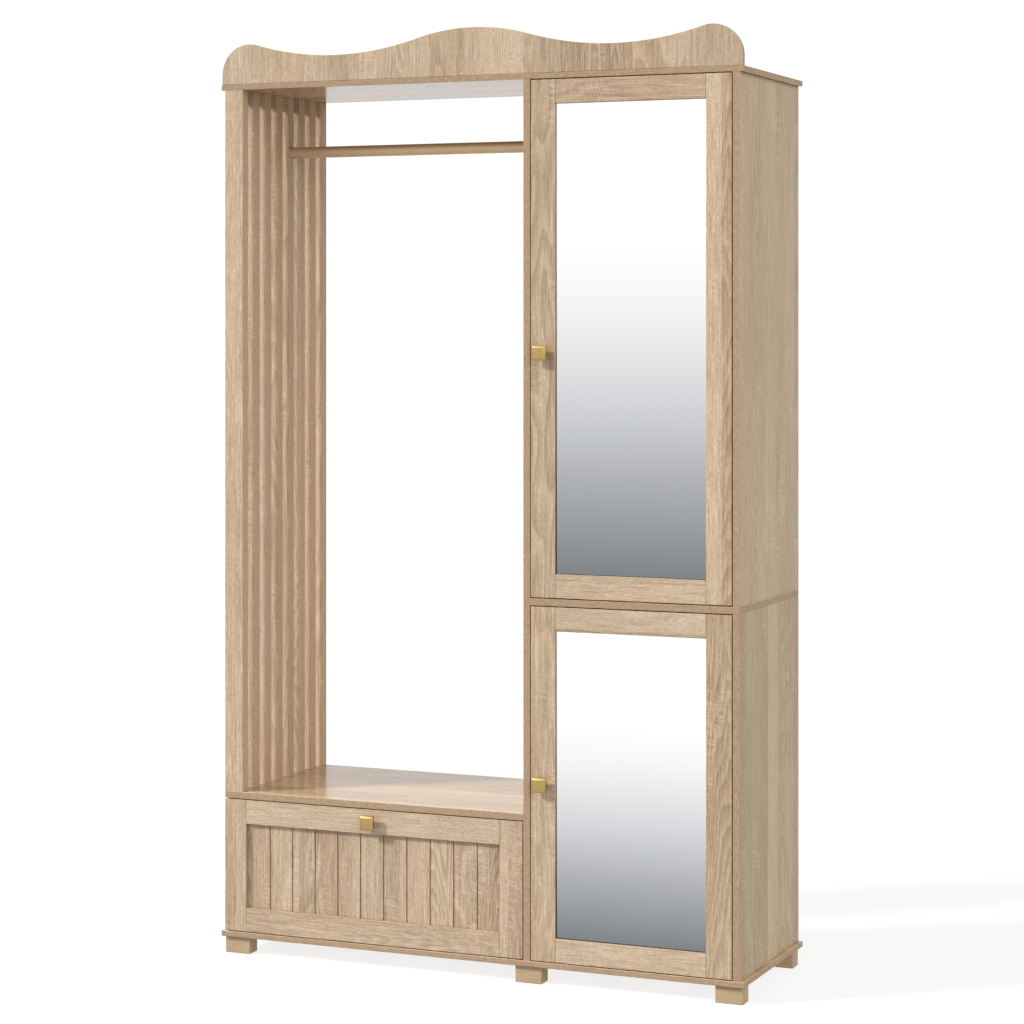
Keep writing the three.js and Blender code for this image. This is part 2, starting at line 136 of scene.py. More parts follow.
# Oak strips of veneer: their number, unevenness and sorts, and how far each one moves the noise
STRIPS_PER_METRE = 17.0
STRIP_UNEVENNESS = 0.9
STRIP_SORTS = 5.0
SORT_STEP = 0.13
STRIP_SHIFT = 7.0

# Metres by which one seed moves a board through the pattern
SEED_ACROSS = 0.731
SEED_ALONG = 1.377

# Oak arches: rings on a long hill, and nested pointed arches on the strips of high figure
HILL_RINGS = 9.0
ARCH_BOW = 2800.0
ARCHES_PER_METRE = 14.0
POINTED_FROM = 0.72
RING_PEAK = 0.85
ARCHED_STRIPS = (0.4, 0.6)
ARCH_MOTTLE = (1.2, 0.2)

# Saw marks: their slant, the ranges of noise in which marks and patches show, and their cover
MARK_SLANT = 90.0
MARK_RANGE = (0.52, 0.68)
PATCH_RANGE = (0.56, 0.68)
MARK_COVER = 0.55

# Shade of the oak: each layer's fixed weight, its weight per unit of figured and per unit of busy
SHADE_BASE = (0.372, -0.19, -0.80)
SHADE_WEIGHTS = {
    "tone": (0.14, 0.16, 0),
    "drift": (0.24, 0, 0),
    "wide": (0, 0.29, 0),
    "fine": (0, 0, 1.00),
    "mottle": (0, 0, 0.68),
    "arch": (0, -0.29, 0),
    "pores": (0, 0, -0.16),
}

# Oak surface: its relief, the shares of marks and pores in it, and its roughness
OAK_RELIEF = 0.25 * MM
MARK_RELIEF = 0.4
PORE_RELIEF = -0.5
OAK_ROUGHNESS = (0.12, 0.11)

# Mirrors: a painted reflection, the tone of the glass at shares of the height that the frame leaves
# open, darker towards the bottom
MIRROR_PAINTED_REFLECTION = (
    (0.00, (0.203, 0.218, 0.230, 1)),
    (0.20, (0.405, 0.416, 0.432, 1)),
    (0.40, (0.660, 0.672, 0.690, 1)),
    (0.60, (0.885, 0.885, 0.890, 1)),
    (0.78, WHITE),
)
MIRROR_CELLS = 9.0
MIRROR_ROUGHNESS = (0.02, 0.005)

# Mirrors: how far the frame laps over them, the pane of glass and the backing board
FRAME_LAP = 8 * MM
PANE_THICKNESS = 4 * MM
PANE_ROUNDING = 0.4 * MM
BACKING_GAP = 0.1 * MM
BACKING_INSET = 0.5 * MM
BACKING_ROUNDING = 0.3 * MM

# Metals: brushed lines and a soft cloud of a worn tone
BRUSH_CELLS_ACROSS = 9000.0
BRUSH_CELLS_ALONG = 60.0
METAL_CELLS = 45.0
METAL_WEAR = 0.25
METAL_LINES = 0.1
METAL_CLOUD = 0.04
METAL_RELIEF = 0.02 * MM

# Plain wood of the feet: a base tone, its grain and a pale cloud
FOOT_TONES = ((0.455, 0.325, 0.185, 1), (0.37, 0.255, 0.135, 1))
FOOT_PALE = (0.53, 0.395, 0.245, 1)
FOOT_CELLS = (25.0, 300.0, 300.0)
FOOT_CLOUD_CELLS = 12.0
FOOT_GRAIN = (0.35, 0.7)
FOOT_CLOUD = (0.35, 0.65, 0.0, 0.35)
FOOT_ROUGHNESS = (0.1, 0.38)

# Hardboard: pressed fibre, pale blots and the oak print of its front
FIBRE_TONES = ((0.36, 0.235, 0.135, 1), (0.27, 0.170, 0.092, 1))
FIBRE_PALE = (0.42, 0.290, 0.180, 1)
FIBRE_CELLS = 260.0
BLOT_CELLS = 7.0
BLOT_COVER = 0.3
PRINT_CELLS = (120.0, 2.0)
PRINT_RANGE = (0.1, 0.9)
FIBRE_ROUGHNESS = (0.2, 0.6)

# Plain boards and metals: a small relief, and the range of noise between two tones
SMALL_RELIEF = 0.1 * MM
NOISE_MIDDLE = (0.3, 0.7)

# Knobs: a square head with a sloped rim, a round neck and the screw that holds it
KNOB_HEAD_DEPTH = 9 * MM
KNOB_HEAD_SIDES = 4
KNOB_SLOPE = 4 * MM
KNOB_SLOPE_DEPTH = 3 * MM
KNOB_ROUNDING = 0.7 * MM
KNOB_NECK = 6 * MM
KNOB_NECK_START = 6 * MM
KNOB_NECK_SIDES = 32
KNOB_OVERLAP = 0.5 * MM
KNOB_SCREW = 4 * MM

# Knob base: its radius, and the shares of it that the flare keeps at each height
KNOB_BASE = 8.5 * MM
KNOB_FLARE = ((1.0, 0.0), (1.0, 0.8 * MM), (0.94, 1.6 * MM), (0.82, 2.6 * MM), (0.74, 4 * MM))

# Clothes rail: radii of the tube, and the collar with the inset halfway round its edge
RAIL_OUTER = 12.5 * MM
RAIL_INNER = 11.3 * MM
RAIL_SIDES = 64
COLLAR_LENGTH = 4 * MM
COLLAR_ROUNDING = 0.4 * MM
COLLAR_EASE = 0.12 * MM

# Screws: the height in shares of the radius, and the pan head in shares of radius and height
SCREW_RADIUS = 3.4 * MM
SCREW_SIDES = 24
SCREW_HEIGHT = 0.6
SCREW_HEAD = ((1.0, 0.0), (1.0, 0.4), (0.88, 0.82), (0.66, 1.0))

# Cross recess: reach and half width in shares of the radius, floor in shares of rim and height
CROSS_REACH = 0.5
CROSS_HALF_WIDTH = 0.13
CROSS_TAPER = 0.7
CROSS_FLOOR = 0.3

# Hinge screws: how far plate and arm stand off the front's edge, and how far inward they lie
PLATE_FACE = 2.3 * MM
PLATE_INWARD = 59 * MM
PLATE_WING = 14 * MM
ARM_FACE = 10 * MM
ARM_SCREWS_INWARD = (54 * MM, 73 * MM)
ARM_SCREW_SHARE = 0.85

# Hinge cups: their distance from the front's edge, and the ears at their sides
CUP_SETBACK = {"upper_door": 23.35 * MM, "lower_door": 23.35 * MM, "flap": 21.85 * MM}
EAR_ROOT = 18.4 * MM
EAR_REACH = 26 * MM
EAR_RADIUS = 7 * MM
EAR_STEPS = 12
EAR_GAP = 0.05 * MM
EAR_THICKNESS = 1.0 * MM
EAR_ROUNDING = 0.2 * MM

# Shelf pins: a flange at the wall, a shank with a bevelled end and a seat on top of it
PIN_FROM_EDGE = 45 * MM
PIN_DROP = 3.6 * MM
PIN_FLANGE_RADIUS = 4.2 * MM
PIN_FLANGE_DEPTH = 1 * MM
PIN_SHANK_START = 1.4 * MM
PIN_RADIUS = 2.5 * MM
PIN_LENGTH = 9 * MM
PIN_TIP = 0.5 * MM
PIN_SIDES = 20
SEAT_START = 1.6 * MM
SEAT_HALF_WIDTH = 4 * MM
SEAT_BOTTOM = 1.6 * MM
SEAT_GAP = 0.1 * MM
SEAT_ROUNDING = 0.3 * MM

# Tacks round the hardboard backs: their spacing, their heads and the digits of their places
TACK_SPACING = 0.12
TACK_INSET = 9 * MM
TACK_RADIUS = 2.6 * MM
TACK_RIM = 0.1 * MM
TACK_CROWN_RADIUS = 1.8 * MM
TACK_CROWN_EDGE = 0.24 * MM
TACK_HEIGHT = 0.28 * MM
TACK_SIDES = 14
TACK_DIGITS = 5

# Edges: the angles from which they are rounded and shaded sharp, and the steps of a rounding
ROUNDED_FROM = math.radians(20)
SHADED_SHARP_FROM = math.radians(40)
ROUNDING_STEPS = 3


class Tree:
    """Short calls for the shader nodes that the finishes and the sky share"""

    def __init__(self, tree):
        self.tree = tree

    def feed(self, socket, value):
        if isinstance(value, bpy.types.NodeSocket):
            self.tree.links.new(value, socket)
        else:
            socket.default_value = value

    def add(self, kind, inputs, **settings):
        node = self.tree.nodes.new(kind)
        for key, value in settings.items():
            setattr(node, key, value)
        for key, value in inputs.items():
            self.feed(node.inputs[key], value)
        return node

    def split(self, vector):
        node = self.add("ShaderNodeSeparateXYZ", {0: vector})
        return [node.outputs[axis] for axis in (X, Y, Z)]

    def join(self, x, y, z=0.0):
        return self.add("ShaderNodeCombineXYZ", {0: x, 1: y, 2: z}).outputs[0]

    def math(self, operation, *values):
        inputs = dict(enumerate(values))
        return self.add("ShaderNodeMath", inputs, operation=operation).outputs[0]

    def scaled(self, value, factor, offset=0.0):
        return self.math("MULTIPLY_ADD", value, factor, offset)

    def total(self, start, *terms):
        """start plus every value times its factor"""
        for value, factor in terms:
            start = self.math("MULTIPLY_ADD", value, factor, start)
        return start

    def smooth(self, value, low, high, out_low=0.0, out_high=1.0):
        inputs = {0: value, 1: low, 2: high, 3: out_low, 4: out_high}
        node = self.add("ShaderNodeMapRange", inputs, interpolation_type="SMOOTHSTEP")
        return node.outputs[0]

    def noise(self, x, y, z=0.0, detail=2.0, roughness=0.5):
        place = self.join(x, y, z)
        inputs = {"Vector": place, "Scale": 1.0, "Detail": detail, "Roughness": roughness}
        return self.add("ShaderNodeTexNoise", inputs).outputs[0]

    def mix(self, factor, a, b, way="MIX"):
        inputs = {0: factor, 6: a, 7: b}
        return self.add("ShaderNodeMix", inputs, data_type="RGBA", blend_type=way).outputs[2]

    def tinted(self, color, tint):
        return self.mix(1.0, color, tint, "MULTIPLY")

    def ramp(self, value, stops):
        """Colours along a value; stops are (position, colour) pairs"""
        node = self.add("ShaderNodeValToRGB", {0: value})
        elements = node.color_ramp.elements
        while len(elements) < len(stops):
            elements.new(0.5)
        for element, (position, color) in zip(elements, stops):
            element.position = position
            element.color = color
        return node.outputs[0]


class Paint(Tree):
    """One material, with the place and the facing of the surface in the row frame"""

    def __init__(self, name):
        self.material = bpy.data.materials.new(name)
        self.material.use_nodes = True
        super().__init__(self.material.node_tree)
        self.shader = self.tree.nodes["Principled BSDF"]
        coordinates = self.tree.nodes.new("ShaderNodeTexCoord")
        self.place = self.split(coordinates.outputs["Object"])
        self.facing = self.split(coordinates.outputs["Normal"])

    def stretched(self, cells, detail=2.0):
        """Noise with its own number of cells per metre along each axis"""
        scaled = [self.scaled(value, count) for value, count in zip(self.place, cells)]
        return self.noise(*scaled, detail=detail)

    def cloud(self, cells):
        """Noise with the same number of cells per metre every way"""
        return self.stretched((cells, cells, cells))

    def bump(self, height, distance, strength):
        inputs = {"Height": height, "Distance": distance, "Strength": strength}
        self.feed(self.shader.inputs["Normal"], self.add("ShaderNodeBump", inputs).outputs[0])

    def finish(self, **inputs):
        for key, value in inputs.items():
            self.feed(self.shader.inputs[key.replace("_", " ")], value)
        return self.material


class Oak(Paint):
    """Sawn light oak decor whose grain runs along one axis and whose broad faces look along
    another. u counts metres across the grain and v along it, both moved by the seed."""

    def __init__(self, name, along, broad, seed):
        super().__init__(name)
        across = X + Y + Z - along - broad
        u = self.math("ADD", self.place[across], self.place[broad])
        self.u = self.math("ADD", u, seed * SEED_ACROSS)
        self.v = self.math("ADD", self.place[along], seed * SEED_ALONG)
        self.make_strips(seed)
        self.shift = self.scaled(self.tone, STRIP_SHIFT)
        self.drift = self.layer(self.u, DRIFT_CELLS, detail=1.0)
        self.u_bent = self.math("ADD", self.u, self.scaled(self.drift, GRAIN_BEND))

    def make_strips(self, seed):
        """Strips with sharp edges, each with its own tone, figure and hue"""
        inputs = {"W": self.scaled(self.u, STRIPS_PER_METRE), "Scale": 1.0,
                  "Randomness": STRIP_UNEVENNESS}
        strips = self.add("ShaderNodeTexVoronoi", inputs, voronoi_dimensions="1D")
        middle = self.scaled(strips.outputs["W"], 1 / STRIPS_PER_METRE)
        self.aside = self.math("SUBTRACT", self.u, middle)
        chance, other_chance, _ = self.split(strips.outputs["Color"])
        sort_offset = SORT_STEP * (1 + seed * SEED_ALONG)
        sort = self.math("FLOOR", self.scaled(chance, STRIP_SORTS, sort_offset))
        key = self.join(other_chance, sort)
        kinds = self.add("ShaderNodeTexWhiteNoise", {"Vector": key}, noise_dimensions="2D")
        self.tone, self.figure, self.hue = self.split(kinds.outputs["Color"])

    def layer(self, across, cells, detail, roughness=0.5):
        """Noise with its own number of cells per metre across and along the grain"""
        place = self.scaled(across, cells[0]), self.scaled(self.v, cells[1])
        return self.noise(*place, self.shift, detail, roughness)

    def arches(self, mottle):
        """Contour lines of a long hill, or nested pointed arches, on some of the strips"""
        hills = self.layer(self.u_bent, HILL_CELLS, detail=1.0)
        squared = self.math("MULTIPLY", self.aside, self.aside)
        bow = self.scaled(squared, ARCH_BOW, self.scaled(self.v, ARCHES_PER_METRE))
        pointed = self.math("GREATER_THAN", self.figure, POINTED_FROM)
        bow = self.math("MULTIPLY", bow, pointed)
        rings = self.math("FRACT", self.total(self.scaled(hills, HILL_RINGS), (bow, 1.0)))
        rise = self.smooth(rings, 0.0, RING_PEAK)
        fall = self.smooth(rings, RING_PEAK, 1.0, 1.0, 0.0)
        arch = self.math("MULTIPLY", rise, fall)
        arch = self.math("MULTIPLY", arch, self.smooth(self.figure, *ARCHED_STRIPS))
        return self.math("MULTIPLY", arch, self.scaled(mottle, *ARCH_MOTTLE))

    def saw_marks(self):
        """Light marks across the grain, in patches"""
        slanted = self.total(self.scaled(self.v, MARK_CELLS[1]), (self.u, MARK_SLANT))
        marks = self.noise(self.scaled(self.u, MARK_CELLS[0]), slanted, self.shift, detail=0.0)
        patches = self.layer(self.u, PATCH_CELLS, detail=0.0)
        patches = self.smooth(patches, *PATCH_RANGE)
        return self.math("MULTIPLY", self.smooth(marks, *MARK_RANGE), patches)

    def banded(self, color, band, broad, along, mottle):
        """The plainer band on the narrow faces, and a warmer tone on the ends. On the door frames and
        in the flap's grooves the band is painted shade.
        """
        tilt = self.math("ABSOLUTE", self.facing[broad])
        edge = self.smooth(tilt, *FACE_TURN, 1.0, 0.0)
        plain = self.mix(self.smooth(mottle, *BAND_MOTTLE), *band)
        color = self.mix(self.scaled(edge, BAND_COVER), color, plain)
        end = self.smooth(self.math("ABSOLUTE", self.facing[along]), *FACE_TURN)
        return self.mix(end, color, self.tinted(color, END_TINT))


def oak(name, along, broad, seed, band, busy, figured, gloss=0.45, tint=None):
    """Oak with strips of changing tone, streaks, arches, pores and saw marks. busy is the
    strength of its fine grain and figured that of its strips and arches."""
    paint = Oak(name, along, broad, seed)
    wide = paint.layer(paint.u_bent, WIDE_CELLS, detail=3.0)
    fine = paint.layer(paint.u_bent, FINE_CELLS, detail=2.0)
    mottle = paint.layer(paint.u, MOTTLE_CELLS, detail=2.0, roughness=0.6)
    pores = paint.smooth(paint.layer(paint.u, PORE_CELLS, detail=1.0), *PORE_RANGE)
    marks = paint.saw_marks()
    layers = {"tone": paint.tone, "drift": paint.drift, "wide": wide, "fine": fine,
              "mottle": mottle, "arch": paint.arches(mottle), "pores": pores}

    def weight(fixed, per_figured, per_busy):
        return fixed + per_figured * figured + per_busy * busy

    terms = [(layers[key], weight(*shares)) for key, shares in SHADE_WEIGHTS.items()]
    color = paint.ramp(paint.total(weight(*SHADE_BASE), *terms), OAK_TONES)
    color = paint.mix(paint.hue, color, paint.tinted(color, OAK_OLIVE))
    color = paint.mix(paint.scaled(marks, MARK_COVER * figured), color, OAK_CUT)
    # The kind's tint: partly its own tone, partly painted light for how light falls on that kind
    if tint:
        color = paint.tinted(color, tint)
    color = paint.banded(color, band, broad, along, mottle)
    relief = paint.total(fine, (marks, MARK_RELIEF), (pores, PORE_RELIEF))
    paint.bump(relief, OAK_RELIEF, strength=0.5)
    rough = paint.scaled(fine, *OAK_ROUGHNESS)
    return paint.finish(Base_Color=color, Roughness=rough, Specular_IOR_Level=gloss)


def mirror_glass_painted_reflection(name, bottom, top):
    """Silvered glass with a painted reflection that darkens towards its lower edge, as in the
    photograph
    """
    paint = Paint(name)
    height = paint.add("ShaderNodeMapRange", {0: paint.place[Z], 1: bottom, 2: top}).outputs[0]
    rough = paint.scaled(paint.cloud(MIRROR_CELLS), *MIRROR_ROUGHNESS)
    return paint.finish(Base_Color=paint.ramp(height, MIRROR_PAINTED_REFLECTION), Metallic=1.0, Roughness=rough)


def metal(name, color, worn, roughness, brushed):
    """Satin metal with a faint brushed grain along one axis and a soft cloudy tone"""
    paint = Paint(name)
    cells = [BRUSH_CELLS_ACROSS] * 3
    cells[brushed] = BRUSH_CELLS_ALONG
    lines = paint.stretched(cells)
    cloud = paint.cloud(METAL_CELLS)
    shade = paint.mix(paint.smooth(cloud, *NOISE_MIDDLE, 0.0, METAL_WEAR), color, worn)
    smoothest = roughness - (METAL_LINES + METAL_CLOUD) / 2
    rough = paint.total(smoothest, (lines, METAL_LINES), (cloud, METAL_CLOUD))
    paint.bump(lines, METAL_RELIEF, strength=0.3)
    return paint.finish(Base_Color=shade, Metallic=1.0, Roughness=rough)


def plain_wood(name):
    """Smooth beige wood of the feet"""
    paint = Paint(name)
    grain = paint.stretched(FOOT_CELLS, detail=3.0)
    color = paint.mix(paint.smooth(grain, *FOOT_GRAIN), *FOOT_TONES)
    cloud = paint.smooth(paint.cloud(FOOT_CLOUD_CELLS), *FOOT_CLOUD)
    color = paint.mix(cloud, color, FOOT_PALE)
    paint.bump(grain, SMALL_RELIEF, strength=0.4)
    return paint.finish(Base_Color=color, Roughness=paint.scaled(grain, *FOOT_ROUGHNESS))


def hardboard(name, printed):
    """Thin board: pressed brown fibre, with an oak print on the side that looks forwards"""
    paint = Paint(name)
    x, z = paint.place[X], paint.place[Z]
    fibre_place = paint.scaled(x, FIBRE_CELLS), paint.scaled(z, FIBRE_CELLS)
    fibre = paint.noise(*fibre_place, detail=4.0, roughness=0.7)
    blot = paint.noise(paint.scaled(x, BLOT_CELLS), paint.scaled(z, BLOT_CELLS))
    color = paint.mix(paint.smooth(fibre, *NOISE_MIDDLE), *FIBRE_TONES)
    color = paint.mix(paint.smooth(blot, *NOISE_MIDDLE, 0.0, BLOT_COVER), color, FIBRE_PALE)
    if printed:
        print_place = paint.scaled(x, PRINT_CELLS[0]), paint.scaled(z, PRINT_CELLS[1])
        grain = paint.noise(*print_place, detail=4.0)
        oak_print = paint.mix(paint.smooth(grain, *PRINT_RANGE), OAK_LIGHT, OAK_MID)
        low, high = FACE_TURN
        front = paint.smooth(paint.facing[Y], -high, -low, 1.0, 0.0)
        color = paint.mix(front, color, oak_print)
    paint.bump(fibre, SMALL_RELIEF, strength=0.3)
    return paint.finish(Base_Color=color, Roughness=paint.scaled(fibre, *FIBRE_ROUGHNESS))


STEEL = metal("hinge_steel", color=(0.62, 0.63, 0.64, 1), worn=(0.45, 0.45, 0.46, 1),
              roughness=0.3, brushed=Z)
KNOB_GOLD = metal("knob_gold", color=(0.40, 0.285, 0.108, 1), worn=(0.32, 0.230, 0.082, 1),
                  roughness=0.42, brushed=X)
RAIL_GOLD = metal("rail_gold", color=(0.57, 0.433, 0.277, 1), worn=(0.475, 0.36, 0.225, 1),
                  roughness=0.64, brushed=X)

# Kinds of oak board: which way the grain runs, which way the broad faces look, and the look
# Each kind's tint is partly its own tone and partly painted light, lightening or darkening the same
# oak for the light that falls on that kind
LYING = dict(along=X, broad=Z, band=EDGE_BAND, busy=0.8, figured=0.55, gloss=0.26,
             tint=(1.13, 1.09, 1.01, 1))
UPRIGHT = dict(along=Z, broad=X, band=EDGE_BAND, busy=0.6, figured=0.6, gloss=0.3,
               tint=(1.02, 1.02, 0.95, 1))
CORNICE = dict(along=Z, broad=Y, band=EDGE_BAND, busy=0.8, figured=0.65,
               tint=(0.955, 0.96, 0.955, 1))
# The grooved flap panel takes the groove band, painted shade in its grooves
GROOVED = dict(along=Z, broad=Y, band=GROOVE_BAND_PAINTED_SHADE, busy=0.85, figured=0.75)
STILE = dict(along=Z, broad=Y, busy=0.85, figured=0.8, tint=(0.91, 0.89, 0.87, 1))
CROSS_RAIL = dict(along=X, broad=Y, busy=0.8, figured=0.5, tint=(0.96, 0.96, 0.96, 1))
SLAT = dict(along=Z, broad=Y, band=SLAT_BAND, busy=0.65, figured=0.55, gloss=0.1,
            tint=(1.23, 1.25, 1.34, 1))
FIRST_SLAT = {**SLAT, "busy": 0.8, "figured": 0.3, "tint": (1.10, 1.10, 1.15, 1)}
SINGLE_BOARDS = {
    "base_board": LYING, "top_board": LYING, "mid_board": LYING, "bench_top": LYING,
    "upper_shelf_1": LYING, "upper_shelf_2": LYING, "lower_shelf": LYING,
    "side_panel_upper": UPRIGHT, "side_panel_lower": UPRIGHT,
    "centre_panel_upper": UPRIGHT, "centre_panel_lower": UPRIGHT,
    "bench_side_panel": UPRIGHT, "cornice_board": CORNICE, "flap_panel": GROOVED,
}

# Seeds that put light and dark strips and arches where the photograph has them
CHOSEN_FIGURE = {
    "side_panel_upper": 5, "cornice_board": 9, "flap_panel": 0,
    "upper_door_stile_left": 2, "upper_door_stile_right": 2,
    "lower_door_stile_left": 4, "lower_door_stile_right": 8,
    "upper_door_rail_top": 7, "upper_door_rail_bottom": 2,
    "lower_door_rail_top": 3, "lower_door_rail_bottom": 3,
    "flap_stile_left": 7, "flap_stile_right": 4, "flap_rail_top": 8, "flap_rail_bottom": 7,
}
FIRST_SEED = 20


def board_kinds():
    """Every oak board by name, with its kind"""
    kinds = dict(SINGLE_BOARDS)
    for number in range(1, SLAT_COUNT + 1):
        kinds[f"slat_{number}"] = SLAT if number > 1 else FIRST_SLAT
    for front in FRONTS:
        # Door frames take the darker band, painted shade for the reveal round their mirrors
        band = DOOR_BAND_PAINTED_SHADE if front in DOORS else EDGE_BAND
        for side in ("left", "right"):
            kinds[f"{front}_stile_{side}"] = {**STILE, "band": band}
        for side in ("top", "bottom"):
            kinds[f"{front}_rail_{side}"] = {**CROSS_RAIL, "band": band}
    return kinds


def paint_node(name, material):
    slots = nodes[name].data.materials
    slots.clear()
    slots.append(material)


def paint_boards():
    """Each board in an oak of its own, with a chosen seed or one from its number"""
    for number, (name, kind) in enumerate(sorted(board_kinds().items())):
        seed = CHOSEN_FIGURE.get(name, FIRST_SEED + number)
        paint_node(name, oak(f"oak_{name}", seed=seed, **kind))


def paint_the_rest():
    """Feet, hinges and the hardboard backs"""
    foot_wood = plain_wood("foot_wood")
    for name in nodes:
        if name.startswith("foot_"):
            paint_node(name, foot_wood)
        if "_hinge_" in name:
            paint_node(name, STEEL)
    for name in BACKS:
        paint_node(name, hardboard(f"hardboard_{name}", printed=True))


def aimed(place, direction):
    """The frame at a place whose +Z points in a direction"""
    turn = Vector(direction).to_track_quat("Z", "Y").to_matrix().to_4x4()
    return Matrix.Translation(place) @ turn


class Shape:
    """Closed parts gathered in one mesh, each built round its own origin and set in place"""

    def __init__(self):
        self.mesh = bmesh.new()
        self.fresh = []

    def point(self, x, y, z):
        self.fresh.append(self.mesh.verts.new((x, y, z)))
        return self.fresh[-1]

    def ring(self, radius, height, sides, phase=0.0):
        """A loop round local Z, or a single point on it where the radius is 0"""
        if radius == 0:
            return [self.point(0, 0, height)]
        angles = [phase + 2 * math.pi * i / sides for i in range(sides)]
        return [self.point(radius * math.cos(a), radius * math.sin(a), height) for a in angles]

    def skin(self, low, high):
        """Faces between two loops, of which either may be a single point"""
        count = max(len(low), len(high))
        for i in range(count):
            j = (i + 1) % count
            corners = [low[i % len(low)], low[j % len(low)], high[j % len(high)], high[i % len(high)]]
            self.mesh.faces.new(list(dict.fromkeys(corners)))

    def stack(self, loops, closed=False):
        """Skins between neighbouring loops, and from the last back to the first if closed"""
        for low, high in zip(loops, loops[1:]):
            self.skin(low, high)
        if closed:
            self.skin(loops[-1], loops[0])

    def settle(self, place, bevel=0.0):
        """Moves the fresh vertices into place, and rounds the sharp edges between them"""
        bmesh.ops.transform(self.mesh, matrix=place, verts=self.fresh)
        if bevel:
            self.mesh.normal_update()
            edges = list(dict.fromkeys(edge for vertex in self.fresh for edge in vertex.link_edges))
            sharp = [edge for edge in edges if edge.calc_face_angle() > ROUNDED_FROM]
            bmesh.ops.bevel(self.mesh, geom=sharp, offset=bevel, segments=ROUNDING_STEPS,
                            profile=0.5, affect="EDGES", clamp_overlap=True)
        self.fresh = []

    def lathe(self, profile, sides, place, closed=False, phase=0.0, bevel=0.0):
        """profile holds (radius, height) pairs round local Z; a radius of 0 closes an end"""
        self.stack([self.ring(radius, height, sides, phase) for radius, height in profile], closed)
        self.settle(place, bevel)

    def prism(self, outline, depth, place, bevel):
        """An outline in local x and y, raised by a depth along Z"""
        low = [self.point(x, y, 0) for x, y in outline]
        high = [self.point(x, y, depth) for x, y in outline]
        self.skin(low, high)
        self.mesh.faces.new(low[::-1])
        self.mesh.faces.new(high)
        self.settle(place, bevel)

    def block(self, low, high, bevel):
        """A box between two corners of the row frame, with rounded edges"""
        outline = [(low[X], low[Y]), (high[X], low[Y]), (high[X], high[Y]), (low[X], high[Y])]
        self.prism(outline, high[Z] - low[Z], Matrix.Translation((0, 0, low[Z])), bevel)

    def loop_edges(self, loop):
        return [self.mesh.edges.get((a, b)) for a, b in zip(loop, loop[1:] + loop[:1])]

    def screw(self, radius, place):
        """A pan head with a cross recess; its seat is the origin and its top faces +Z"""
        top = SCREW_HEIGHT * radius
        rings = [self.ring(share * radius, height * top, SCREW_SIDES) for share, height in SCREW_HEAD]
        self.stack(rings)
        self.mesh.faces.new(rings[0][::-1])
        reach, half = CROSS_REACH * radius, CROSS_HALF_WIDTH * radius
        quarter = [(reach, -half), (reach, half), (half, half)]
        cross = [(x * c - y * s, x * s + y * c)
                 for c, s in ((1, 0), (0, 1), (-1, 0), (0, -1)) for x, y in quarter]
        rim = [self.point(x, y, top) for x, y in cross]
        floor = [self.point(CROSS_TAPER * x, CROSS_TAPER * y, CROSS_FLOOR * top) for x, y in cross]
        self.skin(floor, rim)
        self.mesh.faces.new(floor)
        edges = self.loop_edges(rings[-1]) + self.loop_edges(rim)
        bmesh.ops.triangle_fill(self.mesh, use_beauty=True, edges=edges, normal=(0, 0, 1))
        self.settle(place)

    def piece(self, name, body, slot, material, *stands_for):
        """The finished mesh as a piece that rides on a body and may stand for CAD nodes"""
        bmesh.ops.recalc_face_normals(self.mesh, faces=self.mesh.faces)
        data = bpy.data.meshes.new(name)
        self.mesh.to_mesh(data)
        self.mesh.free()
        data.materials.append(material)
        data.shade_smooth()
        data.set_sharp_from_angle(angle=SHADED_SHARP_FROM)
        made = bpy.data.objects.new(name, data)
        bpy.context.scene.collection.objects.link(made)
        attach(made, body)
        if stands_for:
            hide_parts(*stands_for)


def make_knobs():
    """A square head with a sloped rim and rounded edges, on a flared neck"""
    corner = math.sqrt(2)
    for front in FRONTS:
        low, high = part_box(f"{front}_knob")
        middle = (low + high) / 2
        place = aimed((middle.x, high.y, middle.z), (0, -1, 0))
        half = (high.x - low.x) / 2
        top = high.y - low.y
        back = top - KNOB_HEAD_DEPTH
        rim = top - KNOB_SLOPE_DEPTH
        head = [(0, back), (half * corner, back), (half * corner, rim),
                ((half - KNOB_SLOPE) * corner, top), (0, top)]
        neck_end = back + KNOB_OVERLAP
        flare = [(share * KNOB_BASE, height) for share, height in KNOB_FLARE]
        stem = [(0, 0), *flare, (KNOB_NECK, KNOB_NECK_START), (KNOB_NECK, neck_end), (0, neck_end)]
        shape = Shape()
        shape.lathe(head, KNOB_HEAD_SIDES, place, phase=math.pi / 4, bevel=KNOB_ROUNDING)
        shape.lathe(stem, KNOB_NECK_SIDES, place)
        shape.piece(f"{front}_square_knob", front, "brass", KNOB_GOLD, f"{front}_knob")


def make_rail():
    """Round tube with a small rounded collar at each end"""
    low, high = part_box("clothes_rail")
    middle = (low + high) / 2
    length = high.x - low.x
    collar = (high.z - low.z) / 2
    shoulder = collar - COLLAR_ROUNDING
    eased = collar - COLLAR_EASE
    end = [(RAIL_INNER, 0), (shoulder, 0), (eased, COLLAR_EASE), (collar, COLLAR_ROUNDING),
           (collar, COLLAR_LENGTH - COLLAR_ROUNDING), (eased, COLLAR_LENGTH - COLLAR_EASE),
           (shoulder, COLLAR_LENGTH), (RAIL_OUTER, COLLAR_LENGTH)]
    profile = end + [(radius, length - along) for radius, along in reversed(end)]
    place = aimed((low.x, middle.y, middle.z), (1, 0, 0))
    shape = Shape()
    shape.lathe(profile, RAIL_SIDES, place, closed=True)
    shape.piece("round_rail", "carcass", "brass", RAIL_GOLD, "clothes_rail")


